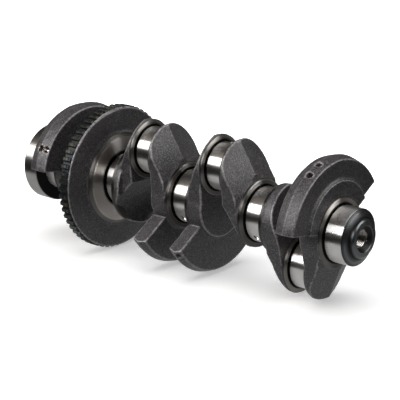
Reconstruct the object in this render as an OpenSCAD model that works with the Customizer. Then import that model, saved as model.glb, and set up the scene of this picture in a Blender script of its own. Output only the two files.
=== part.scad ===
// Crankshaft of a 1.5 litre in-line four, five main bearings, four counterweights
// X runs along the crank axis, from the flywheel face at X = 0 to the pulley nose.
// The crank is drawn at the angle at which it lies: crankpins 2 and 3 up.

/* [Layout] */
// Distance between neighbouring cylinders
bore_spacing = 85; // [84:0.5:92]
// Half of the piston stroke
throw = 38; // [36:0.5:42]
// Roll of the crank about its own axis, from crankpins 2 and 3 straight up
crank_roll = 9; // [0:1:20]
// Flywheel face to the middle of main bearing 5
main_5_x = 25; // [24:0.5:28]

/* [Journals] */
// Main journal diameter
main_d = 50; // [48:0.5:54]
// Crankpin diameter
pin_d = 44; // [42:0.5:46]
// Gap between the webs at a main journal
main_gap = 20; // [18:0.5:22]
// Gap between the webs at a crankpin
pin_gap = 20; // [18:0.5:22]
// Width of the relief groove at each end of a journal
relief_w = 1.8; // [1:0.1:2.5]
// Depth of that relief groove
relief_h = 0.5; // [0.3:0.1:0.8]
// Diameter of the oil drillings
oil_d = 5; // [3:0.5:6]

/* [Webs] */
// Radius of the thrust collar at the main journals
main_collar_r = 31; // [30:0.5:33]
// Radius of the collar at the crankpins
pin_collar_r = 27.5; // [26:0.5:29]
// Radius of the web's round end about the crankpin
lobe_r = 28.5; // [28:0.5:31]
// Radius of the counterweights along the middle of their rims
weight_r = 66; // [63:0.5:68]
// Half of the angle that a counterweight spans
weight_half = 69.5; // [60:0.5:75]
// Angle by which the counterweights lead the plane of the crankpins
weight_lead = 2; // [0:1:8]
// Diameter of the balancing holes in the counterweight rims
balance_d = 6; // [5:0.5:6.5]
// Depth of those holes
balance_depth = 7; // [4:0.5:12]

/* [Thrust disc and trigger ring] */
// Radius of the round disc, web 7
disc_r = 68.4; // [67:0.2:69]
// Radius of the turned shoulder that carries the trigger ring
shoulder_r = 63; // [62:0.5:64]
// Width of the trigger ring
ring_w = 10.5; // [8:0.5:12]
// Outer radius over the teeth of the trigger ring
ring_r = 69.6; // [69:0.2:70]
// Depth of the teeth
tooth_h = 3; // [2:0.5:4]
// Tooth pitches round the ring, of which two are left without a tooth
tooth_pitches = 60; // [36:6:60]

/* [Flywheel end] */
// Diameter of the rear oil seal journal, which is also the flywheel flange
flange_d = 75; // [74:0.5:78]
// Length of that journal
flange_len = 17; // [15:0.5:17]
// Number of flywheel bolts
bolt_count = 6; // [4:1:8]
// Bolt circle diameter
bolt_pcd = 60; // [58:0.5:62]
// Tapping diameter of the flywheel bolt holes, M10 x 1
bolt_hole_d = 9; // [8:0.1:9]
// Depth of the flywheel bolt holes
bolt_hole_depth = 14; // [10:1:15]
// Diameter of the flywheel dowel
dowel_d = 7; // [6:0.5:8]

/* [Pilot bearing] */
// Outer diameter, size 6202
bearing_od = 35; // [35]
// Bore
bearing_id = 15; // [15]
// Width
bearing_w = 11; // [11]
// Number of balls
ball_count = 8; // [7:1:8]
// Ball diameter
ball_d = 6; // [5.5:0.5:6]

/* [Nose] */
// Length of journal 1 that the front main bearing and the oil pump run on
front_journal_len = 18; // [17:0.5:20]
// Length of the cone from the journal down to the nose
nose_cone_len = 3; // [2:0.5:4]
// Diameter of the nose
nose_d = 34.2; // [32:0.2:36]
// Length of the nose beyond the cone
nose_len = 4; // [3:0.5:6]
// Tapping diameter of the pulley bolt hole, M16 x 1.5
nose_hole_d = 14.5; // [14:0.1:15]
// Depth of the thread
nose_hole_depth = 45; // [35:1:50]
// Diameter of the countersink at the mouth of that hole
nose_sink_d = 22.6; // [20:0.2:24]

/* [Hidden] */
$fn = 96;
// A little extra on a cutter, so that it breaks through cleanly
over = 1;
main_r = main_d / 2;
pin_r = pin_d / 2;
flange_r = flange_d / 2;
web_t = (bore_spacing - main_gap - pin_gap) / 2;
// Middles of main journals 1 to 5 and of crankpins 1 to 4
function main_x(n) = main_5_x + (5 - n) * bore_spacing;
function pin_x(n) = main_5_x + (4.5 - n) * bore_spacing;
// Crankpins 2 and 3 stand up, 1 and 4 hang down
function pin_turn(n) = (n == 2 || n == 3) ? 0 : 180;
nose_x = main_x(1) - main_gap / 2 + front_journal_len;
end_x = nose_x + nose_cone_len + nose_len;
// Places along a web, from its main bearing face towards its crankpin face
collar_h = 3.2;
pin_collar_h = 2;
body_far = web_t - pin_collar_h;
weight_span = [2.2, web_t - 0.5];
weight_5_span = [6.2, web_t - 0.5];
weight_4_span = [2.2, 16.5];
weight_1_span = [3, web_t - 0.5];
// The rim of a counterweight falls from its middle to each face by this much
rim_fall = 2.7;
// How far a collar reaches into the sloping body of its web
collar_root = 6;
// The web is as wide as the main collar, and its round end fades into it
arm_half = 30.4;
// Its main bearing face falls away towards the tip like a hipped roof, from lobe_start above the axis
lobe_start = 36;
lobe_tilt = 25;
lobe_draft = 15;
heel_r = 31.5;
// A web without a counterweight is scooped out below its crankpin, by a cylinder deeper on one side
scoop_r = 46;
scoop_x = 55.5;
scoop_drop = 22;
scoop_turn = 10.5;
// Draft of the forged faces, in degrees, which leaves a ridge along the middle
arm_draft = 3;
disc_draft = 1.2;
// Web 1 has a raised round step, set off towards the counterweight, cut off at a slant above the crankpin
plateau_r = 42;
plateau_offset = 4;
plateau_near = 0.6;
plateau_t = 8;
plateau_slant = 25;
// Web 6 carries a wide collar for the thrust half-washers
thrust_r = 38;
// Long enough to cut right across any web
cutter = 220;
// Web 7: a disc with a wide polished thrust face
disc_near = 4;
disc_far = web_t - 2.5;
boss_r = 44;
boss_land_r = 41;
boss_bevel = 0.6;
disc_bevel = 1.6;
disc_lip = 3;
shoulder_near = disc_near + disc_lip;
ring_front = pin_x(4) + pin_gap / 2 + web_t - shoulder_near;
ring_rear = ring_front - ring_w;
// Oil drillings run from a main journal, off to one side, to the crankpin behind it
oil_main_angle = 236;
oil_pin_angle = 20;
bore_r = bearing_od / 2;
bearing_x = 1;
bearing_bore_depth = bearing_x + bearing_w;
centre_relief_d = 22;
centre_relief_depth = 18;
ball_circle_r = (bearing_od + bearing_id) / 4;
groove_r = ball_d / 2 + 0.1;
inner_ring_r = 10.3;
outer_ring_bore_r = 14.7;
ring_bevel = 0.6;
// The shields sit in a step of the outer ring and stop just short of the inner ring
shield_t = 0.4;
shield_gap = 0.3;
step_r = outer_ring_bore_r + 0.7;
step_w = ring_bevel + shield_t;
cage_half = 1.1;
cage_w = 8;
cage_play = 0.2;
flange_bevel = 1;
dowel_bevel = 1;
dowel_out = 6;
dowel_in = 9;
dowel_angle = 270;
nose_bevel = 1.2;
cast = [0.17, 0.17, 0.18];
ground = [0.80, 0.80, 0.79];
trigger = [0.30, 0.34, 0.36];
black = [0.20, 0.20, 0.21];
bearing_steel = [0.72, 0.73, 0.74];
brass = [0.76, 0.62, 0.34];

// Turns a shape drawn with its crankpin straight up to the angle of crankpin n
module at_crank_angle(n) {
  rotate([crank_roll + pin_turn(n), 0, 0]) children();
}

// A solid of revolution about X from a profile of [along, radius] points
module turned(points) {
  rotate([90, 0, 90]) rotate_extrude() polygon([for (p = points) [p[1], p[0]]]);
}

// A cylinder along X from x0 to x1
module bar(x0, x1, r) {
  translate([x0, 0, 0]) rotate([0, 90, 0]) cylinder(r = r, h = x1 - x0);
}

// A ground journal with a relief groove at each end where a web stands
module journal(x0, x1, r, groove_front = true, groove_rear = true) {
  rear = groove_rear ? [[x0, r - relief_h], [x0 + relief_w, r - relief_h]] : [];
  front = groove_front ? [[x1 - relief_w, r - relief_h], [x1, r - relief_h]] : [];
  rear_top = groove_rear ? x0 + relief_w : x0;
  front_top = groove_front ? x1 - relief_w : x1;
  turned(concat([[x0, 0]], rear, [[rear_top, r], [front_top, r]], front, [[x1, 0]]));
}

// The oil way from main journal n to crankpin n, a straight drilling through the web between
module oil_way(n) {
  u0 = (main_r + over) * sin(oil_main_angle);
  v0 = (main_r + over) * cos(oil_main_angle);
  u1 = (pin_r + over) * sin(oil_pin_angle);
  v1 = throw + (pin_r + over) * cos(oil_pin_angle);
  run = [pin_x(n) - main_x(n), u1 - u0, v1 - v0];
  at_crank_angle(n)
    translate([main_x(n), u0, v0])
      rotate([0, acos(run[2] / norm(run)), atan2(run[1], run[0])])
        cylinder(d = oil_d, h = norm(run));
}

// The tapped hole for the pulley bolt
module nose_hole() {
  bar(end_x - nose_hole_depth, end_x + over, nose_hole_d / 2);
}

// ---- Webs, drawn with the main journal's face at x = 0, the crankpin's at web_t, and the pin up ----

// Outline of the arm: a round heel, straight flanks and the round end about the crankpin
module arm_outline() {
  tip_half = arm_half + lobe_r - heel_r;
  circle(r = heel_r);
  translate([0, throw]) circle(r = lobe_r);
  polygon([[-arm_half, 0], [arm_half, 0], [tip_half, throw], [-tip_half, throw]]);
}

// Everything on the main bearing's side of x = 0
module near_side() {
  translate([-cutter, -cutter / 2, -cutter / 2]) cube(cutter);
}

// Cuts a face through [x, z] that leans away from the main bearing by tilt
module tilted_cut(x, z, tilt) {
  translate([x, 0, z]) rotate([0, tilt, 0]) near_side();
}

// Cuts a face at x that falls away by draft on each side of a ridge along the middle
module draft_cut(x, draft) {
  for (side = [-1, 1])
    translate([x, 0, 0]) rotate([0, 0, side * draft]) near_side();
}

module arm() {
  difference() {
    translate([collar_h, 0, 0]) rotate([90, 0, 90]) linear_extrude(body_far - collar_h) arm_outline();
    draft_cut(collar_h, arm_draft);
    translate([collar_h, 0, lobe_start]) rotate([0, lobe_tilt, 0]) draft_cut(0, lobe_draft);
  }
}

module heel_scoop() {
  translate([scoop_x, 0, -scoop_drop]) rotate([90, 0, -scoop_turn])
    cylinder(r = scoop_r, h = cutter, center = true, $fn = 180);
}

module main_collar(r = main_collar_r) {
  bar(0, collar_h + collar_root, r);
}

module pin_collar() {
  translate([0, 0, throw]) bar(body_far - pin_collar_h, web_t, pin_collar_r);
}

// The sector that a counterweight fills, drawn upwards
module sector() {
  side = cutter * sin(weight_half);
  top = cutter * cos(weight_half);
  polygon([[0, 0], [side, top], [0, cutter], [-side, top]]);
}

// A counterweight: a sector about the axis, opposite the pin, turned by weight_lead, that fills span
// along the web. Each of its balancing holes is its place along the web and its angle from the middle.
module weight(holes, span) {
  edge_r = weight_r - rim_fall;
  middle = (span[0] + span[1]) / 2;
  difference() {
    rotate([180 + weight_lead, 0, 0]) intersection() {
      turned([[span[0], 0], [span[0], edge_r], [middle, weight_r], [span[1], edge_r], [span[1], 0]]);
      rotate([90, 0, 90]) linear_extrude(web_t) sector();
    }
    for (h = holes)
      rotate([180 + weight_lead + h[1], 0, 0]) translate([h[0], 0, weight_r - balance_depth])
        cylinder(d = balance_d, h = balance_depth + over);
  }
}

module whole_arm(collar_r = main_collar_r) {
  arm();
  main_collar(collar_r);
  pin_collar();
}

module plain_web(collar_r = main_collar_r) {
  difference() {
    whole_arm(collar_r);
    heel_scoop();
  }
  bar(0, collar_h, collar_r);
}

module weighted_web(holes = [], span = weight_span) {
  whole_arm();
  weight(holes, span);
}

// Puts a web in its place: from main journal m towards crankpin p
module place_web(m, p) {
  step = pin_x(p) > main_x(m) ? 1 : -1;
  face = main_x(m) + step * main_gap / 2;
  color(cast)
    difference() {
      at_crank_angle(p) translate([face, 0, 0]) mirror([step > 0 ? 0 : 1, 0, 0]) children();
      if (m == p) oil_way(m);
    }
}

module plateau() {
  difference() {
    translate([plateau_near, 0, 0]) rotate([90, 0, 90]) linear_extrude(plateau_t)
      intersection() {
        translate([0, -plateau_offset]) circle(r = plateau_r);
        union() {
          arm_outline();
          rotate(180 + weight_lead) sector();
        }
      }
    tilted_cut(plateau_near, throw - lobe_r + plateau_near, plateau_slant);
  }
}

module web_1() {
  difference() {
    place_web(1, 1) {
      weighted_web([[10, 19], [11, 6]], weight_1_span);
      plateau();
    }
    nose_hole();
  }
}

module web_2() {
  place_web(2, 1) plain_web();
}

module web_3() {
  place_web(2, 2) plain_web();
}

module web_4() {
  place_web(3, 2) weighted_web([[12, -64]], weight_4_span);
}

module web_5() {
  place_web(3, 3) weighted_web([], weight_5_span);
}

module web_6() {
  place_web(4, 3) plain_web(thrust_r);
}

// Web 7: the round disc with the thrust face, and the shoulder behind it for the trigger ring
module web_7() {
  place_web(4, 4) {
    difference() {
      turned([[0, 0], [0, boss_land_r], [boss_bevel, boss_r], [disc_near, boss_r],
        [disc_near, disc_r - disc_bevel], [disc_near + disc_bevel, disc_r],
        [shoulder_near, disc_r], [shoulder_near, shoulder_r], [disc_far, shoulder_r], [disc_far, 0]]);
      difference() {
        draft_cut(disc_near, disc_draft);
        bar(-over, web_t, boss_r + over);
      }
    }
    pin_collar();
  }
}

module web_8() {
  place_web(5, 4) weighted_web([[12, 50], [18.4, 50]]);
}

// ---- Journals and crankpins ----

module middle_journal(n) {
  color(ground)
    difference() {
      journal(main_x(n) - main_gap / 2, main_x(n) + main_gap / 2, main_r);
      if (n < 5) oil_way(n);
    }
}

module main_journal_1() {
  color(ground)
    difference() {
      journal(main_x(1) - main_gap / 2, nose_x, main_r, groove_front = false);
      oil_way(1);
      nose_hole();
    }
}

module main_journal_2() {
  middle_journal(2);
}

module main_journal_3() {
  middle_journal(3);
}

module main_journal_4() {
  middle_journal(4);
}

module main_journal_5() {
  color(ground)
    difference() {
      journal(flange_len, main_x(5) + main_gap / 2, main_r, groove_rear = false);
      bar(flange_len - over, centre_relief_depth, centre_relief_d / 2);
    }
}

module crankpin(n) {
  color(ground)
    difference() {
      at_crank_angle(n) translate([0, 0, throw])
        journal(pin_x(n) - pin_gap / 2, pin_x(n) + pin_gap / 2, pin_r);
      oil_way(n);
    }
}

module crankpin_1() {
  crankpin(1);
}

module crankpin_2() {
  crankpin(2);
}

module crankpin_3() {
  crankpin(3);
}

module crankpin_4() {
  crankpin(4);
}

// ---- Ends ----

module rear_flange() {
  color(ground)
    difference() {
      turned([[0, 0], [0, flange_r - flange_bevel], [flange_bevel, flange_r],
        [flange_len - flange_bevel, flange_r], [flange_len, flange_r - flange_bevel], [flange_len, 0]]);
      bar(-over, bearing_bore_depth, bore_r);
      bar(-over, flange_len + over, centre_relief_d / 2);
      rotate([crank_roll, 0, 0]) for (i = [0:bolt_count - 1])
        rotate([i * 360 / bolt_count, 0, 0]) translate([0, 0, bolt_pcd / 2])
          bar(-over, bolt_hole_depth, bolt_hole_d / 2);
      rotate([crank_roll + dowel_angle, 0, 0]) translate([0, 0, bolt_pcd / 2])
        bar(-over, dowel_in, dowel_d / 2);
    }
}

module flywheel_dowel() {
  color(bearing_steel)
    rotate([crank_roll + dowel_angle, 0, 0]) translate([0, 0, bolt_pcd / 2])
      turned([[-dowel_out, 0], [-dowel_out, dowel_d / 2 - dowel_bevel],
        [dowel_bevel - dowel_out, dowel_d / 2], [dowel_in, dowel_d / 2], [dowel_in, 0]]);
}

module nose() {
  nose_r = nose_d / 2;
  sink_r = nose_sink_d / 2;
  sink_depth = sink_r - nose_hole_d / 2;
  color(black)
    difference() {
      turned([[nose_x, 0], [nose_x, main_r], [nose_x + nose_cone_len, nose_r],
        [end_x - nose_bevel, nose_r], [end_x, nose_r - nose_bevel], [end_x, 0]]);
      nose_hole();
      turned([[end_x - sink_depth, 0], [end_x - sink_depth, nose_hole_d / 2], [end_x, sink_r],
        [end_x + over, sink_r], [end_x + over, 0]]);
    }
}

// The trigger ring: long teeth on a band pressed on the shoulder of web 7, two teeth left out
module trigger_ring() {
  root = ring_r - tooth_h;
  pitch = 360 / tooth_pitches;
  color(trigger)
    rotate([crank_roll, 0, 0]) translate([ring_rear, 0, 0]) rotate([90, 0, 90])
      linear_extrude(ring_w)
        difference() {
          polygon([for (i = [0:tooth_pitches - 1]) for (p = [[0, 0], [0.12, 1], [0.5, 1], [0.62, 0]])
            let (a = (i + p[0]) * pitch, r = i < 2 ? root : root + p[1] * tooth_h)
            [r * cos(a), r * sin(a)]]);
          circle(r = shoulder_r, $fn = 180);
        }
}

// ---- Pilot bearing for the gearbox input shaft, in the bore of the flange ----

module ball_groove() {
  rotate([90, 0, 90]) rotate_extrude() translate([ball_circle_r, 0]) circle(r = groove_r, $fn = 48);
}

module pilot_outer_ring() {
  color(bearing_steel)
    translate([bearing_x, 0, 0])
      difference() {
        turned([[0, step_r], [0, bore_r - ring_bevel], [ring_bevel, bore_r],
          [bearing_w - ring_bevel, bore_r], [bearing_w, bore_r - ring_bevel], [bearing_w, step_r],
          [bearing_w - step_w, step_r], [bearing_w - step_w, outer_ring_bore_r],
          [step_w, outer_ring_bore_r], [step_w, step_r]]);
        translate([bearing_w / 2, 0, 0]) ball_groove();
      }
}

module pilot_inner_ring() {
  inner_r = bearing_id / 2;
  color(bearing_steel)
    translate([bearing_x, 0, 0])
      difference() {
        turned([[0, inner_r + ring_bevel], [ring_bevel, inner_r], [bearing_w - ring_bevel, inner_r],
          [bearing_w, inner_r + ring_bevel], [bearing_w, inner_ring_r], [0, inner_ring_r]]);
        translate([bearing_w / 2, 0, 0]) ball_groove();
      }
}

module each_ball() {
  for (i = [0:ball_count - 1])
    rotate([i * 360 / ball_count, 0, 0]) translate([bearing_x + bearing_w / 2, 0, ball_circle_r]) children();
}

module pilot_balls() {
  color(bearing_steel) each_ball() sphere(d = ball_d, $fn = 48);
}

module pilot_cage() {
  color(brass)
    difference() {
      translate([bearing_x + bearing_w / 2, 0, 0])
        turned([[-cage_w / 2, ball_circle_r - cage_half], [cage_w / 2, ball_circle_r - cage_half],
          [cage_w / 2, ball_circle_r + cage_half], [-cage_w / 2, ball_circle_r + cage_half]]);
      each_ball() cylinder(d = ball_d + cage_play, h = 4 * cage_half, center = true);
    }
}

module pilot_shield(x) {
  color(bearing_steel)
    translate([x, 0, 0])
      turned([[0, inner_ring_r + shield_gap], [shield_t, inner_ring_r + shield_gap],
        [shield_t, step_r], [0, step_r]]);
}

module pilot_shield_rear() {
  pilot_shield(bearing_x + ring_bevel);
}

module pilot_shield_front() {
  pilot_shield(bearing_x + bearing_w - step_w);
}

rear_flange();
main_journal_5();
web_8();
crankpin_4();
web_7();
main_journal_4();
web_6();
crankpin_3();
web_5();
main_journal_3();
web_4();
crankpin_2();
web_3();
main_journal_2();
web_2();
crankpin_1();
web_1();
main_journal_1();
nose();
trigger_ring();
flywheel_dowel();
pilot_outer_ring();
pilot_inner_ring();
pilot_balls();
pilot_cage();
pilot_shield_rear();
pilot_shield_front();
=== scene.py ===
"""The looks of the crankshaft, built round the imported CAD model.

Lengths are written in millimetres and turned into metres as each mesh is made.
X runs along the crank from the flywheel face to the nose, and Z is up.
"""

import math

import bmesh
import bpy
import numpy as np
from mathutils import Matrix, Vector, noise


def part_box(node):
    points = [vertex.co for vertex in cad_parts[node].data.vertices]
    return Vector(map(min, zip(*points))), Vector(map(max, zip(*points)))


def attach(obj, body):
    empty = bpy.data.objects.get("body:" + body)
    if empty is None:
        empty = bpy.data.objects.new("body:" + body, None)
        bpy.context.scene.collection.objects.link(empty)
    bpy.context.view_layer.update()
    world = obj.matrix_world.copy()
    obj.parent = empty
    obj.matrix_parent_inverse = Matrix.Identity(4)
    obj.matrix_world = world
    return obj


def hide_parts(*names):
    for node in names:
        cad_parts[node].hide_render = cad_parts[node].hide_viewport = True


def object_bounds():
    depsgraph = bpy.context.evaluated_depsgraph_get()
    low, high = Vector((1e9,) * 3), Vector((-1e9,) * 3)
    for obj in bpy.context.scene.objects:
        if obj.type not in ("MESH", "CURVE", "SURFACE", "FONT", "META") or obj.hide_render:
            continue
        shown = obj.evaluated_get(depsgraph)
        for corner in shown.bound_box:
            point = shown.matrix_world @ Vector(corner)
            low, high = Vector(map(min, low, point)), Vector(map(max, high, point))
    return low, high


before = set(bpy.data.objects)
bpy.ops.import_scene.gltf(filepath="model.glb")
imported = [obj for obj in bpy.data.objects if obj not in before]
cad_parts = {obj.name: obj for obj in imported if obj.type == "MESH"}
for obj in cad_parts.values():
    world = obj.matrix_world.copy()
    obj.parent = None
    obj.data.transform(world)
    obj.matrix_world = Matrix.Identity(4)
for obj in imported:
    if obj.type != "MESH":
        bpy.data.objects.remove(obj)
cad_low, cad_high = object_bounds()

MM = 0.001
ROOT = "crank"
STEPS = 224  # vertices round a large turned piece
TINY = 1e-6  # stands for nothing in a comparison or a division


# ---- What the frame says ----


def node_box(name):
    """(low, high) corners of a CAD node, in millimetres."""
    low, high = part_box(name)
    return low / MM, high / MM


def axis_of(name):
    """(y, z) of the axis of a round CAD node, and its radius, in millimetres."""
    low, high = node_box(name)
    return ((low.y + high.y) / 2, (low.z + high.z) / 2), (high.z - low.z) / 2


MAIN_R = axis_of("main_journal_3")[1]
PIN_R = axis_of("crankpin_2")[1]
PIN_AXIS = {n: axis_of("crankpin_%d" % n)[0] for n in range(1, 5)}
CRANK_ROLL = math.atan2(-PIN_AXIS[2][0], PIN_AXIS[2][1])


def ends_of(name):
    """Where a CAD node starts and ends along X, in millimetres."""
    low, high = node_box(name)
    return low.x, high.x


def at_angle(pin, side, height):
    """(y, z) of a point given beside and above the axis with crankpin number pin straight up."""
    turn = CRANK_ROLL + (0 if pin in (2, 3) else math.pi)
    return (side * math.cos(turn) - height * math.sin(turn),
            side * math.sin(turn) + height * math.cos(turn))


# ---- Meshes ----


def new_object(name, verts, faces):
    """A mesh object from points in millimetres."""
    mesh = bpy.data.meshes.new(name)
    mesh.from_pydata([tuple(c * MM for c in v) for v in verts], [], faces)
    mesh.update()
    made = bpy.data.objects.new(name, mesh)
    bpy.context.scene.collection.objects.link(made)
    return made


def applied(piece):
    """Turns a piece's modifiers into its mesh."""
    graph = bpy.context.evaluated_depsgraph_get()
    result = bpy.data.meshes.new_from_object(piece.evaluated_get(graph))
    piece.modifiers.clear()
    old = piece.data
    piece.data = result
    bpy.data.meshes.remove(old)
    return piece


def smooth(piece, angle=30):
    """Smooth shading, broken at edges sharper than angle."""
    mesh = piece.data
    mesh.polygons.foreach_set("use_smooth", [True] * len(mesh.polygons))
    mesh.set_sharp_from_angle(angle=math.radians(angle))
    return piece


def fix_normals(piece):
    """Turns every face of a closed piece outwards."""
    bm = bmesh.new()
    bm.from_mesh(piece.data)
    bmesh.ops.recalc_face_normals(bm, faces=bm.faces)
    bm.to_mesh(piece.data)
    bm.free()
    return piece


def on_ring(x, radius, turn, centre=(0, 0)):
    """A point round an axis along X, turned from straight up."""
    return (x, centre[0] + radius * math.sin(turn), centre[1] + radius * math.cos(turn))


def rounded(points, closed=False, arc=5):
    """An outline of (x, r, fillet, dark) points with its fillets turned into arcs.

    The last two numbers of a point are optional.
    """
    made = []
    count = len(points)
    for i, point in enumerate(points):
        here = Vector(point[:2])
        fillet = point[2] if len(point) > 2 else 0
        dark = point[3] if len(point) > 3 else 0
        if not fillet or (not closed and i in (0, count - 1)):
            made.append((here, dark))
            continue
        before = Vector(points[i - 1][:2]) - here
        after = Vector(points[(i + 1) % count][:2]) - here
        half = before.angle(after) / 2
        back = min(fillet / math.tan(half), before.length * 0.49, after.length * 0.49)
        start = here + before.normalized() * back
        end = here + after.normalized() * back
        for k in range(arc + 1):
            t = k / arc
            made.append((start * (1 - t) ** 2 + here * 2 * t * (1 - t) + end * t * t, dark))
    return made


def subdivided(outline, support=0.2, longest=1.6):
    """An outline with its long stretches divided.

    A point near each end of a stretch keeps its shading straight.
    """
    made = [outline[0]]
    for (a, dark_a), (b, dark_b) in zip(outline, outline[1:]):
        length = (b - a).length
        if length > 4 * support:
            count = max(1, round((length - 2 * support) / longest))
            for k in range(count + 1):
                t = (support + (length - 2 * support) * k / count) / length
                made.append((a.lerp(b, t), dark_a + (dark_b - dark_a) * t))
        made.append((b, dark_b))
    return made


def lathe(name, points, centre=(0, 0), steps=STEPS, closed=True):
    """A turned piece about an axis along X.

    Its "along" attribute runs along the outline, for the tool marks, and "dark" is painted shade.
    """
    outline = rounded(points, closed)
    if closed:
        outline = outline + [outline[0]]
    outline = subdivided(outline)
    verts, rings, along, shade_levels = [], [], [], []
    run = 0
    for i, (point, dark) in enumerate(outline):
        if i:
            run += (point - outline[i - 1][0]).length
        if closed and i == len(outline) - 1:
            rings.append(rings[0])
            continue
        around = 1 if point.y < TINY else steps
        rings.append([len(verts) + k for k in range(around)])
        for k in range(around):
            verts.append(on_ring(point.x, point.y, 2 * math.pi * k / steps, centre))
            along.append(run)
            shade_levels.append(dark)
    faces = []
    for a, b in zip(rings, rings[1:]):
        for k in range(steps):
            quad = [a[k % len(a)], a[(k + 1) % len(a)], b[(k + 1) % len(b)], b[k % len(b)]]
            quad = list(dict.fromkeys(quad))
            if len(quad) > 2:
                faces.append(quad)
    made = new_object(name, verts, faces)
    store(made, "along", along)
    store(made, "dark", shade_levels)
    return smooth(fix_normals(made))


def store(piece, name, values):
    """Keeps one number for each vertex, for the materials to read."""
    attribute = piece.data.attributes.new(name, "FLOAT", "POINT")
    attribute.data.foreach_set("value", np.asarray(values, np.float32))


def cut(piece, *cutters):
    """Takes the cutters out of a piece, and removes them."""
    for cutter in cutters:
        change = piece.modifiers.new("cut", "BOOLEAN")
        change.operation = "DIFFERENCE"
        change.solver = "EXACT"
        change.object = cutter
    applied(piece)
    for cutter in cutters:
        bpy.data.objects.remove(cutter)
    return smooth(piece, 25)


def rod(start, end, radius, steps=40):
    """A plain round cutter between two points."""
    start, end = Vector(start), Vector(end)
    turn = (end - start).to_track_quat("Z", "Y")
    verts, faces = [], []
    for point in (start, end):
        for k in range(steps):
            a = 2 * math.pi * k / steps
            verts.append(point + turn @ Vector((radius * math.cos(a), radius * math.sin(a), 0)))
    for k in range(steps):
        n = (k + 1) % steps
        faces.append([k, n, steps + n, steps + k])
    faces.append(list(range(steps))[::-1])
    faces.append(list(range(steps, 2 * steps)))
    return new_object("cutter", verts, faces)


# ---- Materials ----

# The sockets of a Mix node that mixes colours
MIX_FACTOR = 0
MIX_FIRST = 6
MIX_SECOND = 7
MIX_RESULT = 2


def feed(tree, socket, value):
    """Links another node's output to a socket, or sets the socket to a value."""
    if isinstance(value, bpy.types.NodeSocket):
        tree.links.new(value, socket)
    else:
        socket.default_value = value


def add(tree, kind, settings=None, **inputs):
    """A node with its settings and inputs; an input is a value or another node's output."""
    made = tree.nodes.new(kind)
    for key, value in (settings or {}).items():
        setattr(made, key, value)
    for key, value in inputs.items():
        feed(tree, made.inputs[key.replace("_", " ")], value)
    return made


def math_of(tree, operation, *values):
    made = add(tree, "ShaderNodeMath", {"operation": operation})
    for socket, value in zip(made.inputs, values):
        feed(tree, socket, value)
    return made.outputs[0]


def new_material(name, **inputs):
    """A new material, its node tree and its shader, with inputs set on the shader itself."""
    made = bpy.data.materials.new(name)
    made.use_nodes = True
    tree = made.node_tree
    shader = tree.nodes["Principled BSDF"]
    for key, value in inputs.items():
        shader.inputs[key.replace("_", " ")].default_value = value
    return made, tree, shader


def object_place(tree):
    return add(tree, "ShaderNodeTexCoord").outputs["Object"]


def attribute_of(tree, name):
    return add(tree, "ShaderNodeAttribute", {"attribute_name": name}).outputs["Fac"]


def noise_of(tree, place, scale, detail=3.0, rough=0.55):
    return add(tree, "ShaderNodeTexNoise", None, Vector=place, Scale=scale, Detail=detail,
               Roughness=rough).outputs["Fac"]


def lines_of(tree, per_mm, detail=2.0):
    """Fine marks that follow the turning, from the "along" attribute."""
    return add(tree, "ShaderNodeTexNoise", {"noise_dimensions": "1D"},
               W=attribute_of(tree, "along"), Scale=per_mm, Detail=detail).outputs["Fac"]


def spread(tree, value, taken, given=(0.0, 1.0)):
    """Maps a value from the range taken to the range given, and holds it there."""
    return add(tree, "ShaderNodeMapRange", None, Value=value, From_Min=taken[0],
               From_Max=taken[1], To_Min=given[0], To_Max=given[1]).outputs["Result"]


def blend_colour(tree, factor, first, second):
    made = add(tree, "ShaderNodeMix", {"data_type": "RGBA"})
    feed(tree, made.inputs[MIX_FACTOR], factor)
    feed(tree, made.inputs[MIX_FIRST], first)
    feed(tree, made.inputs[MIX_SECOND], second)
    return made.outputs[MIX_RESULT]


def bump(tree, height, distance, under=None):
    """A bump of the given depth in metres, laid over another where there is one under it."""
    made = add(tree, "ShaderNodeBump", None, Height=height, Distance=distance, Strength=1.0)
    if under is not None:
        tree.links.new(under, made.inputs["Normal"])
    return made.outputs["Normal"]


def link(tree, output, shader, name):
    tree.links.new(output, shader.inputs[name])


def grey(level, warm=0.0):
    """A near-grey colour, a little warmer or cooler."""
    return (level * (1 + warm), level, level * (1 - warm), 1.0)


def charcoal(level):
    """The faintly purple grey of forging scale."""
    return (level * 1.03, level * 0.965, level, 1.0)


# Forging scale, from its darkest patches to its worn edges with their painted highlight
SCALE_DARK = charcoal(0.026)
SCALE_PALE = charcoal(0.044)
SCALE_PITS = charcoal(0.078)
SCALE_GRAIN = charcoal(0.20)
SCALE_RUBBED_AND_HIGHLIT = charcoal(0.40)

# Painted shade: the near-black that turned steel is darkened to where its "dark" value says
PAINTED_SHADE = grey(0.012, 0.05)

# The trigger ring's phosphate, the oil dried on it, and its bright specks
PHOSPHATE = (0.018, 0.023, 0.026, 1)
DRIED_OIL = (0.034, 0.031, 0.020, 1)
PHOSPHATE_SPECK = (0.050, 0.060, 0.066, 1)

BRASS = (0.70, 0.53, 0.24, 1)
BRASS_STAIN = (0.45, 0.33, 0.15, 1)


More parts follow.
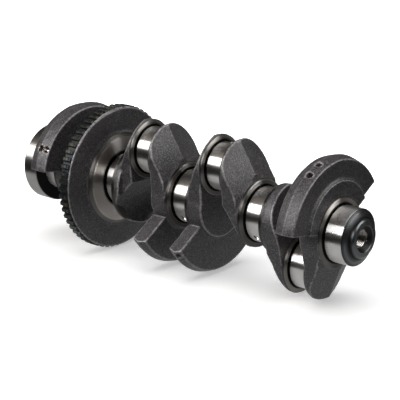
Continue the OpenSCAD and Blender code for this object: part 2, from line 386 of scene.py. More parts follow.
def forged_material():
    """Forging scale: dark charcoal, finely speckled, worn lighter and painted with a highlight
    along the edges.
    """
    made, tree, shader = new_material("forged_scale", Metallic=0.25, Specular_IOR_Level=0.6)
    place = object_place(tree)
    patches = noise_of(tree, place, scale=38.0, detail=4.0)
    grain = noise_of(tree, place, scale=1150.0, detail=2.0, rough=0.6)
    pits = noise_of(tree, place, scale=420.0, detail=4.0, rough=0.65)
    base = blend_colour(tree, spread(tree, patches, (0.3, 0.7)), SCALE_DARK, SCALE_PALE)
    scaled = blend_colour(tree, spread(tree, pits, (0.50, 0.66)), base, SCALE_PITS)
    speckled = blend_colour(tree, spread(tree, grain, (0.50, 0.70)), scaled, SCALE_GRAIN)
    # Convex edges lightened: worn, and painted with a highlight
    edges = spread(tree, attribute_of(tree, "wear_and_highlight"), (0.35, 1.0))
    rubbed_and_highlit = math_of(tree, "MULTIPLY", edges, spread(tree, pits, (0.35, 0.6), (0.2, 1.0)))
    link(tree, blend_colour(tree, rubbed_and_highlit, speckled, SCALE_RUBBED_AND_HIGHLIT), shader, "Base Color")
    link(tree, spread(tree, pits, (0.3, 0.75), (0.34, 0.54)), shader, "Roughness")
    skin = bump(tree, pits, 0.30 * MM)
    link(tree, bump(tree, grain, 0.16 * MM, under=skin), shader, "Normal")
    return made


def turned_material(name, level, warm, roughness, anisotropy, marks, depth, metallic=1.0):
    """Turned or ground steel, darkened with painted shade where "dark" says.

    The marks round its axis are given by how many there are in a millimetre and their depth.
    """
    made, tree, shader = new_material(name, Metallic=metallic, Anisotropic=anisotropy,
                                      Anisotropic_Rotation=0.25)
    tangent = add(tree, "ShaderNodeTangent", {"direction_type": "RADIAL", "axis": "X"})
    link(tree, tangent.outputs[0], shader, "Tangent")
    fine = lines_of(tree, marks)
    smears = noise_of(tree, object_place(tree), scale=70.0)
    dark = attribute_of(tree, "dark")
    colour = blend_colour(tree, spread(tree, fine, (0.3, 0.7)),
                          grey(level * 0.9, warm), grey(level, warm))
    smeared = blend_colour(tree, spread(tree, smears, (0.35, 0.75), (0.0, 0.5)),
                           colour, grey(level * 0.85, warm * 2))
    # Painted shade where "dark" says
    link(tree, blend_colour(tree, dark, smeared, PAINTED_SHADE), shader, "Base Color")
    clean = spread(tree, smears, (0.3, 0.7), (roughness * 0.85, roughness * 1.2))
    dulled = spread(tree, dark, (0.0, 1.0), (0.0, 0.25))
    link(tree, math_of(tree, "ADD", clean, dulled), shader, "Roughness")
    link(tree, bump(tree, fine, depth * MM), shader, "Normal")
    return made


def trigger_material():
    """Phosphated pressed steel: slate blue, with a little olive where the oil has dried."""
    made, tree, shader = new_material("trigger_steel", Metallic=0.6)
    place = object_place(tree)
    patches = noise_of(tree, place, scale=55.0)
    grain = noise_of(tree, place, scale=900.0)
    base = blend_colour(tree, spread(tree, patches, (0.45, 0.66)), PHOSPHATE, DRIED_OIL)
    link(tree, blend_colour(tree, spread(tree, grain, (0.55, 0.8)), base, PHOSPHATE_SPECK),
         shader, "Base Color")
    link(tree, spread(tree, grain, (0.3, 0.7), (0.30, 0.46)), shader, "Roughness")
    link(tree, bump(tree, grain, 0.10 * MM), shader, "Normal")
    return made


def cage_material():
    """Pressed brass, dulled in patches."""
    made, tree, shader = new_material("cage_brass", Metallic=1.0)
    place = object_place(tree)
    darkening = noise_of(tree, place, scale=300.0, detail=4.0)
    link(tree, blend_colour(tree, spread(tree, darkening, (0.35, 0.7)), BRASS, BRASS_STAIN),
         shader, "Base Color")
    link(tree, spread(tree, darkening, (0.3, 0.7), (0.22, 0.4)), shader, "Roughness")
    link(tree, bump(tree, noise_of(tree, place, scale=1500.0), 0.03 * MM), shader, "Normal")
    return made


FORGED = forged_material()
GROUND = turned_material("ground_steel", level=0.80, warm=0.02, roughness=0.30,
                         anisotropy=1.0, marks=9.0, depth=0.0006)
# The seal journal is ground steel like the main journals, given a darker colour as painted shade:
# its band of reflected light is dimmer
SHADED_SEAL = turned_material("shaded_seal_journal", level=0.50, warm=0.02, roughness=0.34,
                       anisotropy=1.0, marks=7.0, depth=0.001)
FACED = turned_material("faced_steel", level=0.55, warm=0.05, roughness=0.38,
                        anisotropy=1.0, marks=5.0, depth=0.003)
BLACKED = turned_material("black_oxide", level=0.16, warm=-0.03, roughness=0.26,
                          anisotropy=0.6, marks=4.0, depth=0.003, metallic=0.9)
THREAD = turned_material("thread_steel", level=0.38, warm=0.05, roughness=0.20,
                         anisotropy=0.3, marks=6.0, depth=0.003)
DRILLED = turned_material("drilled_steel", level=0.50, warm=0.12, roughness=0.24,
                          anisotropy=0.3, marks=6.0, depth=0.004)
BEARING = turned_material("bearing_steel", level=0.72, warm=0.0, roughness=0.16,
                          anisotropy=0.4, marks=9.0, depth=0.001)
TRIGGER = trigger_material()
CAGE = cage_material()


def finish_piece(piece, material, replaces=(), body=ROOT):
    """Gives a piece its material, hides the CAD parts it replaces, and fixes it to its body."""
    piece.data.materials.clear()
    piece.data.materials.append(material)
    if replaces:
        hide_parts(*replaces)
    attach(piece, body)
    return piece


# ---- Forged webs ----

VOXEL = 0.8
WELD = 0.002  # points of a CAD node nearer than this are joined before it is remeshed
COLLAR_R = 31.0
THRUST_R = 38.0
PIN_COLLAR_R = 27.5
COLLAR_H = 3.2
WEB_1_COLLAR_H = 0.9
PIN_COLLAR_H = 2.0
COLLAR_SINK = 1.6  # how far under a collar's face the forging stops
COLLAR_UNDER = 3.0  # how far a collar runs in under its journal
COLLAR_DEEPER = 0.8  # and how much deeper it goes than its own height
UNDERCUT = 1.0
BOSS_R = 44.0
BOSS_H = 4.0

# Width of the bright land round a collar, which the painted shade leaves out
MAIN_LAND = 1.1
WEB_1_LAND = 3.4
PIN_LAND = 2.2

# How much painted shade darkens each kind of collar away from its upper arc
MAIN_COLLAR_SHADE = 0.6
PIN_COLLAR_SHADE = 0.45

# How far a point of the forging stands out where its edge is fully worn and takes its full painted
# highlight
FULL_WEAR_AND_HIGHLIGHT = 0.06


class Web:
    """Which main bearing and crankpin a web joins, and where its two faces are."""

    def __init__(self, number):
        self.number = number
        self.name = "web_%d" % number
        self.pin = (number + 1) // 2
        low, high = ends_of(self.name)
        # The way along X from the face at the crankpin to the face at the main bearing
        self.out = 1 if number % 2 else -1
        self.main_face, self.pin_face = (high, low) if number % 2 else (low, high)
        self.collar_r = {6: THRUST_R, 7: BOSS_R}.get(number, COLLAR_R)
        self.collar_h = {1: WEB_1_COLLAR_H, 7: BOSS_H}.get(number, COLLAR_H)


def remeshed(name, source):
    """An even, closed mesh of a CAD node."""
    mesh = source.data.copy()
    made = bpy.data.objects.new(name, mesh)
    bpy.context.scene.collection.objects.link(made)
    bm = bmesh.new()
    bm.from_mesh(mesh)
    bmesh.ops.remove_doubles(bm, verts=bm.verts, dist=WELD * MM)
    bm.to_mesh(mesh)
    bm.free()
    change = made.modifiers.new("remesh", "REMESH")
    change.mode = "VOXEL"
    change.voxel_size = VOXEL * MM
    return applied(made)


class Skin:
    """A mesh's points as arrays, with the averages over neighbours that smoothing needs."""

    def __init__(self, mesh):
        self.mesh = mesh
        self.points = np.empty(len(mesh.vertices) * 3)
        mesh.vertices.foreach_get("co", self.points)
        self.points = self.points.reshape(-1, 3) / MM
        self.edges = np.empty(len(mesh.edges) * 2, int)
        mesh.edges.foreach_get("vertices", self.edges)
        self.edges = self.edges.reshape(-1, 2)
        self.count = np.bincount(self.edges.ravel(), minlength=len(self.points))

    def average(self, values):
        """The mean over each point's neighbours."""
        a, b = self.edges.T
        size = len(self.points)
        if values.ndim == 1:
            total = np.bincount(a, values[b], size) + np.bincount(b, values[a], size)
            return total / self.count
        return np.stack([self.average(column) for column in values.T], axis=1)

    def write(self):
        """Puts the points back in the mesh."""
        self.mesh.vertices.foreach_set("co", (self.points * MM).ravel())
        self.mesh.update()

    def normals(self):
        """The mesh's normals with the points as they are now."""
        self.write()
        found = np.empty(len(self.points) * 3)
        self.mesh.vertices.foreach_get("normal", found)
        return found.reshape(-1, 3)

    def relax(self, times, share=0.5):
        """Moves each point a share of the way to the middle of its neighbours."""
        for _ in range(times):
            self.points += share * (self.average(self.points) - self.points)

    def fill_corners(self, times, share=0.6):
        """Smooths only where the surface is hollow.

        Inner corners get a fillet, and outer edges stay.
        """
        for _ in range(times):
            step = self.average(self.points) - self.points
            hollow = (step * self.normals()).sum(1) > 0
            self.points[hollow] += share * step[hollow]

    def bulge(self, spread_over):
        """How far each point stands out of its surroundings."""
        step = self.average(self.points) - self.points
        out = -(step * self.normals()).sum(1)
        for _ in range(spread_over):
            out = self.average(out)
        return out


def pull_back_collars(skin, web):
    """Keeps the forging clear of the machined collars, which are pieces of their own."""
    lip, reach_past, tuck = 0.3, 1.5, 0.5
    for centre, face, out, radius, height in (
        ((0, 0), web.main_face, web.out, web.collar_r, web.collar_h),
        (PIN_AXIS[web.pin], web.pin_face, -web.out, PIN_COLLAR_R, PIN_COLLAR_H),
    ):
        away = skin.points[:, 1:] - np.array(centre)
        reach = np.linalg.norm(away, axis=1)
        depth = (face - skin.points[:, 0]) * out
        near = (depth < height - lip) & (reach < radius + reach_past)
        limit = radius - tuck
        squeeze = np.where(near & (reach > limit), limit / np.maximum(reach, TINY), 1.0)
        skin.points[:, 1:] = np.array(centre) + away * squeeze[:, None]
        shallow = near & (depth < COLLAR_SINK)
        skin.points[shallow, 0] = face - out * COLLAR_SINK


def roughened(points, normals, size, depth, seed):
    """The points moved along their normals by a smooth random height."""
    shift = Vector((seed * 7.3, seed * 3.1, seed * 5.7))
    height = np.array([noise.fractal(Vector(p / size) + shift, 1.0, 2.0, 3) for p in points])
    return points + normals * (height * depth)[:, None]


def forged_web(web):
    """A web's forging: filleted corners, an uneven skin, and "wear_and_highlight" on its edges:
    worn, and painted with a highlight.
    """
    piece = remeshed(web.name + "_forging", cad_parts[web.name])
    skin = Skin(piece.data)
    skin.relax(2)
    skin.fill_corners(14)
    skin.relax(2)
    wear_and_highlight = np.clip(skin.bulge(1) / FULL_WEAR_AND_HIGHLIGHT, 0, 1)
    skin.points = roughened(skin.points, skin.normals(), size=9.0, depth=0.16, seed=web.number)
    skin.points = roughened(skin.points, skin.normals(), size=1.9, depth=0.06,
                            seed=web.number + 10)
    pull_back_collars(skin, web)
    skin.write()
    store(piece, "wear_and_highlight", wear_and_highlight)
    smooth(piece, 60)
    return finish_piece(piece, FORGED, [web.name])


def collar(name, face, out, journal_r, radius, height, land, centre=(0, 0)):
    """The machined collar where a journal meets its web.

    It has an undercut, a face darkened with painted shade, and a bright land round it.
    """
    base = face - out * (height + COLLAR_DEEPER)
    floor = face - out * UNDERCUT
    inside = journal_r - COLLAR_UNDER
    # The last number of each point is painted shade: deepest in the undercut, lighter on the face,
    # little or none on the land
    return lathe(name, [
        (base, inside, 0, 1),
        (floor, inside, 0, 1),
        (floor, journal_r + 0.8, 0.4, 1),
        (face, journal_r + 1.6, 0.2, 0.75),
        (face, journal_r + 2.0, 0, 0.35),
        (face, radius - land - 0.4, 0, 0.45),
        (face, radius - land, 0, 0.1),
        (face, radius - 0.5, 0.1, 0.0),
        (face - out * 0.5, radius, 0.1, 0.2),
        (face - out * 1.2, radius, 0, 0.8),
        (base, radius, 0, 0.8),
    ], centre)


def shade_below_upper_arc(piece, centre, amount):
    """Paints shade on a collar by amount, everywhere but along its upper arc, which keeps its own
    colour.
    """
    bright_above, fade = 0.9, 0.35
    mesh = piece.data
    points = np.empty(len(mesh.vertices) * 3)
    mesh.vertices.foreach_get("co", points)
    y, z = (points.reshape(-1, 3)[:, 1:] / MM - np.array(centre)).T
    upward = z / np.maximum(np.hypot(y, z), TINY)
    # Painted shade, growing away from the collar's upper arc
    darkening = amount * np.clip((bright_above - upward) / fade, 0, 1)
    dark = np.empty(len(mesh.vertices), np.float32)
    stored = mesh.attributes["dark"].data
    stored.foreach_get("value", dark)
    stored.foreach_set("value", np.maximum(dark, darkening).astype(np.float32))


def thrust_land(web):
    """The wide polished face that the thrust half-washers run against."""
    face, out, radius = web.main_face, web.out, web.collar_r
    base = face - out * (web.collar_h + COLLAR_DEEPER)
    floor = face - out * UNDERCUT
    inside = MAIN_R - COLLAR_UNDER
    # The last number of each point is painted shade, deepest in the undercut and down the outer
    # edge
    return lathe(web.name + "_thrust_land", [
        (base, inside, 0, 1),
        (floor, inside, 0, 1),
        (floor, MAIN_R + 1.2, 0.4, 1),
        (face, MAIN_R + 2.4, 0.3, 0.6),
        (face, MAIN_R + 4.0, 0, 0.05),
        (face, radius - 3.4, 0.1, 0.0),
        (face - out * 0.5, radius - 2.9, 0.2, 0.3),
        (face - out * 0.6, radius - 1.0, 0.2, 0.6),
        (face - out * 1.4, radius, 0.3, 0.6),
        (base, radius, 0, 0.8),
    ])


WEIGHT_R = 66.0
WEIGHT_LEAD = 2.0
RIM_FALL = 2.7
# Where a counterweight's rim starts and ends, from the web's face at the main bearing
WEIGHT_SPAN = {1: (3.0, 22.0), 4: (2.2, 16.5), 8: (2.2, 22.0)}
HOLE_R = 3.0
HOLE_DEPTH = 7.0
# Each balancing hole: its place along the web, and its angle from the counterweight's middle
BALANCE_HOLES = {1: ((10, 19), (11, 6)), 4: ((12, -64),), 8: ((12, 50), (18.4, 50))}


def drilled_cup(name, web, along, angle):
    """The bright wall and drill point of a balancing hole."""
    near, far = WEIGHT_SPAN[web.number]
    rim_r = WEIGHT_R - RIM_FALL * abs(2 * along - near - far) / (far - near)
    bottom = WEIGHT_R - HOLE_DEPTH
    # A little painted shade at the hole's lip
    piece = lathe(name, [
        (bottom - 0.4, 0),
        (bottom - 0.4, HOLE_R + 0.25),
        (rim_r - 1.1, HOLE_R + 0.25),
        (rim_r - 0.9, HOLE_R + 0.1, 0.1, 0.2),
        (rim_r - 1.1, HOLE_R - 0.15, 0.1),
        (bottom + 1.4, HOLE_R - 0.2),
        (bottom - 0.1, 0),
    ], steps=48, closed=False)
    turn = math.radians(180 + WEIGHT_LEAD + angle)
    outward = Vector((0, *at_angle(web.pin, -math.sin(turn), math.cos(turn))))
    turned = outward.to_track_quat("X", "Z").to_matrix().to_4x4()
    moved = Matrix.Translation(((web.main_face - web.out * along) * MM, 0, 0))
    piece.data.transform(moved @ turned)
    return fix_normals(piece)


def build_webs():
    for number in range(1, 9):
        web = Web(number)
        forged_web(web)
        if number == 7:
            main = thrust_land(web)
        else:
            main = collar(web.name + "_main_collar", web.main_face, web.out, MAIN_R,
                          web.collar_r, web.collar_h, WEB_1_LAND if number == 1 else MAIN_LAND)
            shade_below_upper_arc(main, (0, 0), MAIN_COLLAR_SHADE)
        finish_piece(main, FACED)
        pin = collar(web.name + "_pin_collar", web.pin_face, -web.out, PIN_R, PIN_COLLAR_R,
                     PIN_COLLAR_H, PIN_LAND, PIN_AXIS[web.pin])
        shade_below_upper_arc(pin, PIN_AXIS[web.pin], PIN_COLLAR_SHADE)
        finish_piece(pin, FACED)
        for i, (along, angle) in enumerate(BALANCE_HOLES.get(number, ())):
            cup = drilled_cup("%s_balance_hole_%d" % (web.name, i + 1), web, along, angle)
            finish_piece(cup, DRILLED)


# ---- Ground journals ----

OIL_R = 2.5
OIL_MAIN_ANGLE = math.radians(236)
OIL_PIN_ANGLE = math.radians(20)
OIL_MAIN_1_X = 10.0  # from the start of main journal 1 to its drilling
OIL_SPARE = 1.0
GROOVE_W = 1.8
GROOVE_H = 0.5
JOURNAL_WALL = 8.0


def oil_cutter(number):
    """The straight drilling from a main journal to its crankpin, with a little to spare."""
    low, high = ends_of("main_journal_%d" % number)
    main_x = (low + high) / 2 if number > 1 else low + OIL_MAIN_1_X
    pin_x = sum(ends_of("crankpin_%d" % number)) / 2
    throw = math.hypot(*PIN_AXIS[number])
    reach = MAIN_R + OIL_SPARE
    main_end = at_angle(number, reach * math.sin(OIL_MAIN_ANGLE),
                        reach * math.cos(OIL_MAIN_ANGLE))
    reach = PIN_R + OIL_SPARE
    pin_end = at_angle(number, reach * math.sin(OIL_PIN_ANGLE),
                       throw + reach * math.cos(OIL_PIN_ANGLE))
    return rod((main_x, *main_end), (pin_x, *pin_end), OIL_R)


def journal_outline(x0, x1, r, groove_low=True, groove_high=True):
    """A closed ring outline: ground surface between two relief grooves."""
    core = r - JOURNAL_WALL
    bottom = r - GROOVE_H
    slope = GROOVE_W * 0.7
    # The groove bottoms are darkened with painted shade
    low = [(x0, bottom, 0, 1), (x0 + slope, bottom, 0.5, 1), (x0 + GROOVE_W, r, 0.25)]
    high = [(x1 - GROOVE_W, r, 0.25), (x1 - slope, bottom, 0.5, 1), (x1, bottom, 0, 1)]
    return [
        (x0, core),
        *(low if groove_low else [(x0, r, 0.2)]),
        *(high if groove_high else [(x1, r, 0.2)]),
        (x1, core),
    ]


def build_journals():
    for number in range(1, 6):
        name = "main_journal_%d" % number
        x0, x1 = ends_of(name)
        outline = journal_outline(x0, x1, MAIN_R, groove_low=number < 5, groove_high=number > 1)
        piece = lathe(name + "_ground", outline)
        if number < 5:
            cut(piece, oil_cutter(number))
        finish_piece(piece, GROUND, [name])
    for number in range(1, 5):
        name = "crankpin_%d" % number
        piece = lathe(name + "_ground", journal_outline(*ends_of(name), PIN_R), PIN_AXIS[number])
        cut(piece, oil_cutter(number))
        finish_piece(piece, GROUND, [name])


# ---- Nose and threads ----

NOSE_R = 17.1
NOSE_INSIDE_R = 9.0
SINK_R = 11.3
NOSE_THREAD_R = 7.25
NOSE_THREAD_PITCH = 1.5
NOSE_THREAD_END = 44.0  # from the nose's end to the bottom of the thread
ROWS_PER_PITCH = 8


def thread(name, x_mouth, x_end, minor_r, pitch, centre=(0, 0), steps=64, wall=1.6):
    """A sleeve with a real internal thread.

    It is closed, and its outside is hidden in the solid round it.
    """
    way = 1 if x_end > x_mouth else -1
    length = abs(x_end - x_mouth)
    depth = pitch * 0.5
    rows = int(length / pitch * ROWS_PER_PITCH)
    verts, faces = [], []
    for row in range(rows + 1):
        distance = length * row / rows
        taper = min(1, distance / (pitch * 1.2))
        lead = max(0, 1 - distance / (pitch * 0.8)) * depth
        for k in range(steps):
            phase = (distance / pitch + k / steps) % 1
            ridge = 1 - min(1, max(0, abs(2 * phase - 1) * 1.5 - 0.2))
            r = minor_r + depth * (1 - ridge * taper) + lead * 0.2
            verts.append(on_ring(x_mouth + way * distance, r, 2 * math.pi * k / steps, centre))
    for distance in (length, 0):
        for k in range(steps):
            verts.append(on_ring(x_mouth + way * distance, minor_r + wall,
                                 2 * math.pi * k / steps, centre))
    total = rows + 3
    for row in range(total):
        after = (row + 1) % total
        for k in range(steps):
            n = (k + 1) % steps
            faces.append([row * steps + k, row * steps + n, after * steps + n, after * steps + k])
    made = new_object(name, verts, faces)
    store(made, "along", [v[0] for v in verts])
    return smooth(fix_normals(made), 40)


def build_nose():
    x0, x1 = ends_of("nose")
    sink = SINK_R - NOSE_THREAD_R
    # The last number of each point is painted shade: along the journal's end, in the groove before
    # the boss and down the countersink
    piece = lathe("nose_turned", [
        (x0, NOSE_INSIDE_R, 0, 1),
        (x0, MAIN_R - 0.3, 0, 0.9),
        (x0 + 0.35, MAIN_R - 0.1, 0.2, 0.7),
        (x0 + 1.3, MAIN_R - 2.4, 0.3, 0.35),
        (x0 + 1.6, MAIN_R - 3.0, 0.2, 0.0),
        (x0 + 2.9, NOSE_R + 1.4, 0.4, 0.8),
        (x0 + 3.2, NOSE_R - 0.1, 0.5, 0.9),
        (x1 - 1.2, NOSE_R, 0.25, 0.2),
        (x1 - 0.2, NOSE_R - 1.1, 0.2, 0.1),
        (x1, NOSE_R - 1.7, 0.2, 0.0),
        (x1, SINK_R + 0.6, 0.15, 0.0),
        (x1 - 0.6, SINK_R - 0.1, 0.15, 0.9),
        (x1 - sink + 0.5, 8.2, 0, 0.95),
        (x1 - sink, NOSE_INSIDE_R, 0, 1),
    ])
    finish_piece(piece, BLACKED, ["nose"])
    sleeve = thread("nose_thread", x1 - sink + 0.6, x1 - NOSE_THREAD_END, NOSE_THREAD_R,
                    NOSE_THREAD_PITCH)
    finish_piece(sleeve, THREAD)


# ---- Flange, dowel, pilot bearing ----

FLANGE_R = 37.5
BOLT_CIRCLE_R = 30.0
BOLT_HOLE_R = 4.5
BOLT_THREAD_PITCH = 1.0
BOLT_SLEEVE_WALL = 1.1
BOLT_DEPTH = 14.0
BOLTS = 6
DOWEL_R = 3.5
DOWEL_HOLE_DEPTH = 9.0
CUTTER_SPARE = 2.0

# The bearing, from its outside to its bore
BEARING_R = 17.5
SHIELD_SEAT_R = 15.4
SHIELD_OUT_R = 15.35
OUTER_RACE_R = 14.7
SHIELD_IN_R = 10.65
INNER_RACE_R = 10.3
BEARING_BORE_R = 7.5

# The hole in the flange: the bearing's seat, and the relief behind it
SEAT_DEPTH = 12.0
RELIEF_R = 11.0


def bolt_centres():
    """(y, z) of each of the flange's bolt holes."""
    turns = [2 * math.pi * i / BOLTS for i in range(BOLTS)]
    return [at_angle(2, BOLT_CIRCLE_R * math.sin(a), BOLT_CIRCLE_R * math.cos(a)) for a in turns]


def build_flange():
    x0, x1 = ends_of("rear_flange")
    # The last number of a point is painted shade: the front face and the mouth of the relief behind
    # the bearing's seat are darkened
    piece = lathe("rear_flange_ground", [
        (x0, BEARING_R + 0.6, 0.1),
        (x0, FLANGE_R - 0.9, 0.2),
        (x0 + 0.9, FLANGE_R, 0.2),
        (x1 - 0.9, FLANGE_R, 0.2),
        (x1 - 0.3, FLANGE_R - 0.6, 0.2, 0.5),
        (x1, FLANGE_R - 0.9, 0.2, 0.97),
        (x1, RELIEF_R, 0, 1),
        (x0 + SEAT_DEPTH, RELIEF_R),
        (x0 + SEAT_DEPTH, BEARING_R),
        (x0 + 0.6, BEARING_R, 0.1),
    ])
    cutters = [
        rod((x0 - CUTTER_SPARE, y, z), (x0 + BOLT_DEPTH, y, z), BOLT_HOLE_R + 1.0)
        for y, z in bolt_centres()
    ]
    y, z = axis_of("flywheel_dowel")[0]
    cutters.append(rod((x0 - CUTTER_SPARE, y, z), (x0 + DOWEL_HOLE_DEPTH, y, z), DOWEL_R + 0.02))
    cut(piece, *cutters)
    finish_piece(piece, SHADED_SEAL, ["rear_flange"])
    for i, centre in enumerate(bolt_centres()):
        sleeve = thread("flange_thread_%d" % (i + 1), x0 + 0.05, x0 + BOLT_DEPTH, BOLT_HOLE_R,
                        BOLT_THREAD_PITCH, centre, steps=40, wall=BOLT_SLEEVE_WALL)
        finish_piece(sleeve, THREAD)


def build_dowel():
    low, high = ends_of("flywheel_dowel")
    piece = lathe("flywheel_dowel_turned", [
        (low, 0),
        (low, DOWEL_R - 1.2, 0.4),
        (low + 0.5, DOWEL_R - 0.5, 0.4),
        (low + 1.5, DOWEL_R, 0.5),
        (high, DOWEL_R),
        (high, 0),
    ], axis_of("flywheel_dowel")[0], steps=64, closed=False)
    finish_piece(piece, BEARING, ["flywheel_dowel"])


def build_bearing():
    x0, x1 = ends_of("pilot_outer_ring")
    outer = lathe("pilot_outer_ring_ground", [
        (x0, SHIELD_SEAT_R),
        (x0, BEARING_R - 0.6, 0.3),
        (x0 + 0.6, BEARING_R, 0.3),
        (x1 - 0.6, BEARING_R, 0.3),
        (x1, BEARING_R - 0.6, 0.3),
        (x1, SHIELD_SEAT_R),
        (x1 - 1, SHIELD_SEAT_R),
        (x1 - 1, OUTER_RACE_R),
        (x1 - 3, OUTER_RACE_R),
        (x0 + 3, OUTER_RACE_R),
        (x0 + 1, OUTER_RACE_R),
        (x0 + 1, SHIELD_SEAT_R),
    ])
    finish_piece(outer, BEARING, ["pilot_outer_ring"])
    inner = lathe("pilot_inner_ring_ground", [
        (x0, BEARING_BORE_R + 0.6, 0.1),
        (x0, INNER_RACE_R, 0.2),
        (x1, INNER_RACE_R, 0.2),
        (x1, BEARING_BORE_R + 0.6, 0.1),
        (x1 - 0.6, BEARING_BORE_R, 0.2),
        (x0 + 0.6, BEARING_BORE_R, 0.2),
    ])
    finish_piece(inner, BEARING, ["pilot_inner_ring"], "pilot_inner")
    for side, way in (("rear", 1), ("front", -1)):
        name = "pilot_shield_" + side
        low, high = ends_of(name)
        face, back = (low, high) if way > 0 else (high, low)
        shield = lathe(name + "_pressed", [
            (face, SHIELD_IN_R),
            (face, 11.4, 0.2),
            (face + way * 0.2, 11.8, 0.2),
            (face + way * 0.2, 14.0, 0.2),
            (face, 14.4, 0.2),
            (face, SHIELD_OUT_R),
            (back, SHIELD_OUT_R),
            (back, SHIELD_IN_R),
        ])
        finish_piece(shield, BEARING, [name])
    for name, material in (("pilot_balls", BEARING), ("pilot_cage", CAGE)):
        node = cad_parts[name]
        node.data.materials.clear()
        node.data.materials.append(material)


# ---- Trigger ring ----

RING_R = 69.6
SHOULDER_R = 63.0
TOOTH_H = 3.0
PITCHES = 60
MISSING = 2
TOOTH_HALF = 0.31  # half a tooth's width at its root, in pitches
TOOTH_STEEPNESS = 3.6
POINTS_PER_PITCH = 18
POINTS_ACROSS = 22

# The rounded ends of a tooth, and the dent across it, as shares of the ring's width
END_ROUND = 0.09
DENT_PLACE = 0.62
DENT_WIDTH = 0.09
DENT_DEPTH = 0.20  # as a share of the tooth's height


def tooth_height(turn, share):
    """Height of the ring's outside over its band, as a share of a tooth's.

    The place is given round the ring in pitches, and across it from 0 to 1.
    """
    if int(turn) % PITCHES < MISSING:
        return 0.0
    place = abs((turn % 1) - TOOTH_HALF) / TOOTH_HALF
    flank = max(0.0, min(1.0, (1 - place) * TOOTH_STEEPNESS))
    flank = flank * flank * (3 - 2 * flank)
    edge = min(share, 1 - share) / END_ROUND
    end = math.sqrt(max(0.0, 1 - max(0.0, 1 - edge) ** 2))
    dent = 1 - DENT_DEPTH * math.exp(-(((share - DENT_PLACE) / DENT_WIDTH) ** 2))
    return flank * end * dent


def build_trigger_ring():
    x0, x1 = ends_of("trigger_ring")
    around = PITCHES * POINTS_PER_PITCH
    rows = POINTS_ACROSS + 2
    root = RING_R - TOOTH_H
    verts, faces = [], []
    for i in range(around):
        turn = i * PITCHES / around
        a = math.pi / 2 - (turn * 2 * math.pi / PITCHES + CRANK_ROLL)
        for j in range(POINTS_ACROSS):
            share = j / (POINTS_ACROSS - 1)
            x = x0 + (x1 - x0) * j / (POINTS_ACROSS - 1)
            verts.append(on_ring(x, root + TOOTH_H * tooth_height(turn, share), a))
        verts += [on_ring(x1, SHOULDER_R, a), on_ring(x0, SHOULDER_R, a)]
    for i in range(around):
        n = (i + 1) % around
        for j in range(rows):
            k = (j + 1) % rows
            faces.append([i * rows + j, n * rows + j, n * rows + k, i * rows + k])
    piece = smooth(fix_normals(new_object("trigger_ring_pressed", verts, faces)), 50)
    finish_piece(piece, TRIGGER, ["trigger_ring"])


build_webs()
build_journals()
build_nose()
build_flange()
build_dowel()
build_bearing()
build_trigger_ring()


# ---- Floor, light and camera ----


def stage_quad(name, corners, material):
    """A flat stage panel from four corners in millimetres."""
    made = new_object(name, corners, [[0, 1, 2, 3]])
    made.data.materials.append(material)
    return made


PAPER_DARK = grey(0.84)
PAPER_PALE = grey(0.88)
PAPER_GLOW = 0.40
# The camera sees the paper brighten to pure white between these distances from the crank, in metres
FAR_GLOW = 0.9
FAR_RANGE = (0.16, 0.50)
# The sheet seen in reflections ends between these distances, in metres
SHEET_EDGE = (0.15, 0.20)
SHEET_LEVELS = (0.52, 0.015)
SHEET_DIFFUSE = 0.45  # its share in diffuse light


def floor_material(middle, half_length):
    """White paper that glows. In the crank's own bounced and reflected light it is a glowing sheet
    of limited size in a dark studio.
    """
    made, tree, shader = new_material("floor_paper", Metallic=0.0, Roughness=0.9,
                                      Emission_Color=(1, 1, 1, 1))
    place = object_place(tree)
    link(tree, blend_colour(tree, noise_of(tree, place, scale=3.0), PAPER_DARK, PAPER_PALE),
         shader, "Base Color")

    # How far a point is from the crank's axis, and past the crank's ends
    apart = add(tree, "ShaderNodeSeparateXYZ", None, Vector=place)
    beyond = math_of(tree, "ABSOLUTE",
                     math_of(tree, "SUBTRACT", apart.outputs["X"], middle * MM))
    past_end = spread(tree, beyond, (half_length * MM, half_length * MM + 1))
    away = add(tree, "ShaderNodeCombineXYZ", None, X=past_end, Y=apart.outputs["Y"])
    distance = add(tree, "ShaderNodeVectorMath", {"operation": "LENGTH"})
    tree.links.new(away.outputs[0], distance.inputs[0])
    distance = distance.outputs["Value"]

    rays = add(tree, "ShaderNodeLightPath")
    far = math_of(tree, "MULTIPLY", spread(tree, distance, FAR_RANGE, (0.0, FAR_GLOW)),
                  rays.outputs["Is Camera Ray"])
    link(tree, math_of(tree, "ADD", far, PAPER_GLOW), shader, "Emission Strength")
    share = spread(tree, rays.outputs["Is Diffuse Ray"], (0.0, 1.0), (1.0, SHEET_DIFFUSE))
    sheet = add(tree, "ShaderNodeEmission", None, Strength=math_of(
        tree, "MULTIPLY", spread(tree, distance, SHEET_EDGE, SHEET_LEVELS), share))
    bounced = math_of(tree, "MAXIMUM", rays.outputs["Is Glossy Ray"],
                      rays.outputs["Is Diffuse Ray"])
    both = add(tree, "ShaderNodeMixShader")
    for socket, output in zip(both.inputs, (bounced, shader.outputs[0], sheet.outputs[0])):
        tree.links.new(output, socket)
    tree.links.new(both.outputs[0], tree.nodes["Material Output"].inputs["Surface"])
    return made


FLOOR_REACH = 9000.0


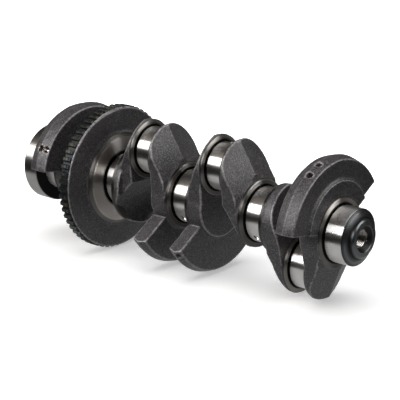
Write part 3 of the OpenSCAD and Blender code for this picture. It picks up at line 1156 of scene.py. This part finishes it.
def build_floor():
    """A pale floor that the ring and the front lobes both touch, as the crank lies."""
    back_low, back_high = node_box("trigger_ring")
    front_low, front_high = node_box("web_1")
    back = ((back_low.x + back_high.x) / 2, back_low.z)
    front = ((front_low.x + front_high.x) / 2, front_low.z)
    slope = (front[1] - back[1]) / (front[0] - back[0])
    corners = [
        (back[0] + x * FLOOR_REACH, y * FLOOR_REACH, back[1] + slope * x * FLOOR_REACH)
        for x, y in ((-1, -1), (1, -1), (1, 1), (-1, 1))
    ]
    start, end = cad_low.x / MM, cad_high.x / MM
    stage_quad("floor", corners, floor_material((start + end) / 2, (end - start) / 2))


# Places and sizes of the lights and of the camera are in metres
LIT_POINT = (0.19, 0, 0)


def area_light(name, place, width, height, radiance):
    """A rectangular light of a given brightness, which faces the crank."""
    data = bpy.data.lights.new(name, "AREA")
    data.shape = "RECTANGLE"
    data.size, data.size_y = width, height
    data.energy = radiance * math.pi * width * height
    made = bpy.data.objects.new(name, data)
    bpy.context.scene.collection.objects.link(made)
    made.location = place
    made.rotation_mode = "QUATERNION"
    made.rotation_quaternion = (Vector(LIT_POINT) - Vector(place)).to_track_quat("-Z", "Y")
    return made


def build_lights():
    """Two lights that only the polished surfaces show, and two that only light the matt ones."""
    softbox = area_light("softbox", (-0.06, -1.0, 0.59), width=1.5, height=0.62, radiance=6.0)
    softbox.visible_diffuse = False
    fill = area_light("softbox_fill", (-0.43475, -0.8442, 0.50), width=1.5, height=0.60,
                      radiance=1.1)
    fill.visible_glossy = False
    right = area_light("right", (1.20, 0.38, 0.58), width=0.9, height=0.7, radiance=4.4)
    right.visible_diffuse = False
    top = area_light("top", (0.25, -0.1, 1.6), width=2.2, height=2.2, radiance=2.6)
    top.visible_glossy = False


STUDIO = grey(0.06, 0.05)
GLOW = grey(0.55, 0.12)
# Where the glow starts and fades, in degrees up from straight in front, and its edge to the right
GLOW_START = (28, 40)
GLOW_FADE = (44, 88)
GLOW_SIDE = (-0.45, 0.0)


def build_world():
    """Dim to light the crank by, with a warm glow over the softbox.

    It is white where the camera looks past the floor.
    """
    world = bpy.data.worlds.new("studio")
    bpy.context.scene.world = world
    world.use_nodes = True
    tree = world.node_tree
    way = add(tree, "ShaderNodeSeparateXYZ", None,
              Vector=add(tree, "ShaderNodeTexCoord").outputs["Generated"])
    front = math_of(tree, "MULTIPLY", way.outputs["Y"], -1.0)
    rise = math_of(tree, "ARCTAN2", way.outputs["Z"], front)
    starts = spread(tree, rise, [math.radians(angle) for angle in GLOW_START])
    fades = spread(tree, rise, [math.radians(angle) for angle in GLOW_FADE], (1.0, 0.0))
    left = spread(tree, way.outputs["X"], GLOW_SIDE, (1.0, 0.0))
    glow = math_of(tree, "MULTIPLY", math_of(tree, "MULTIPLY", starts, fades), left)
    lit = blend_colour(tree, glow, STUDIO, GLOW)
    seen = add(tree, "ShaderNodeLightPath").outputs["Is Camera Ray"]
    tree.links.new(blend_colour(tree, seen, lit, grey(1.0)),
                   tree.nodes["Background"].inputs["Color"])


CAMERA_PLACE = (1.01344, -0.93683, 0.37968)
CAMERA_AZIMUTH = math.radians(41.066)
CAMERA_ELEVATION = math.radians(17.099)
CAMERA_LENS = 127.6
CAMERA_SENSOR = 36
CAMERA_CLIP = 50


def build_camera():
    data = bpy.data.cameras.new("camera")
    data.sensor_width = CAMERA_SENSOR
    data.lens = CAMERA_LENS
    data.clip_end = CAMERA_CLIP
    made = bpy.data.objects.new("camera", data)
    bpy.context.scene.collection.objects.link(made)
    made.location = CAMERA_PLACE
    level = math.cos(CAMERA_ELEVATION)
    back = Vector((math.sin(CAMERA_AZIMUTH) * level, -math.cos(CAMERA_AZIMUTH) * level,
                   math.sin(CAMERA_ELEVATION)))
    made.rotation_mode = "QUATERNION"
    made.rotation_quaternion = (-back).to_track_quat("-Z", "Y")
    bpy.context.scene.camera = made


build_floor()
build_lights()
build_world()
build_camera()
bpy.context.scene.view_settings.view_transform = "Standard"
